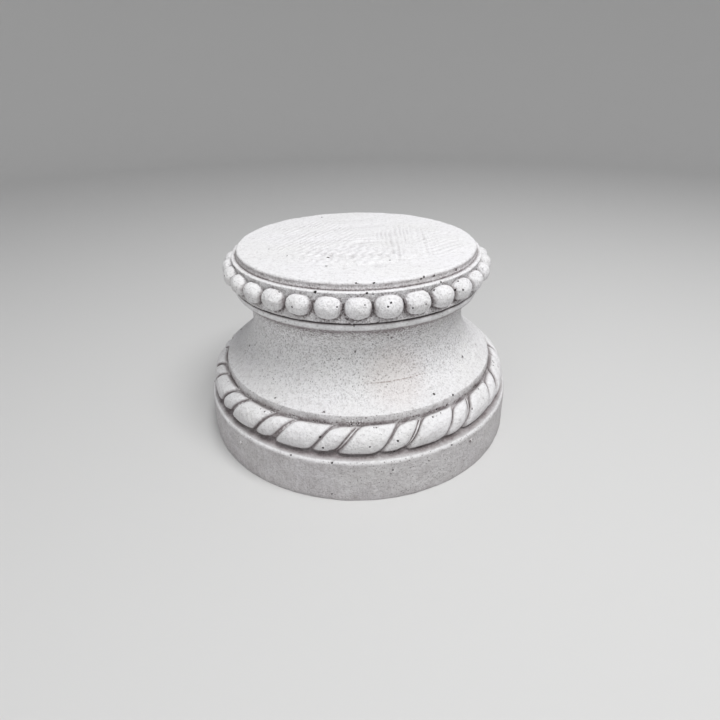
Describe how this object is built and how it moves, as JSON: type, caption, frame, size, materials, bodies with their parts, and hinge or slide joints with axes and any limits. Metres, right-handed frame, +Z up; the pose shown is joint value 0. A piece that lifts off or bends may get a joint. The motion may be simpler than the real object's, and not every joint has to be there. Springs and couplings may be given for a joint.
{
  "type": "column base",
  "caption": "Round cast-stone column base with a plain plinth, a rope moulding, a deep scotia, a ring of beads and a flat seat.",
  "frame": {"origin": "middle of the flat underside", "axes": "+Z up along the axis of the column, -Y towards the viewer of the picture"},
  "size_m": [0.35, 0.35, 0.2014],
  "materials": {
    "cast_stone": "matt cast stone, off-white with grey patina in the hollows"
  },
  "bodies": {
    "root": {"column_base": "cast_stone"}
  },
  "joints": []
}
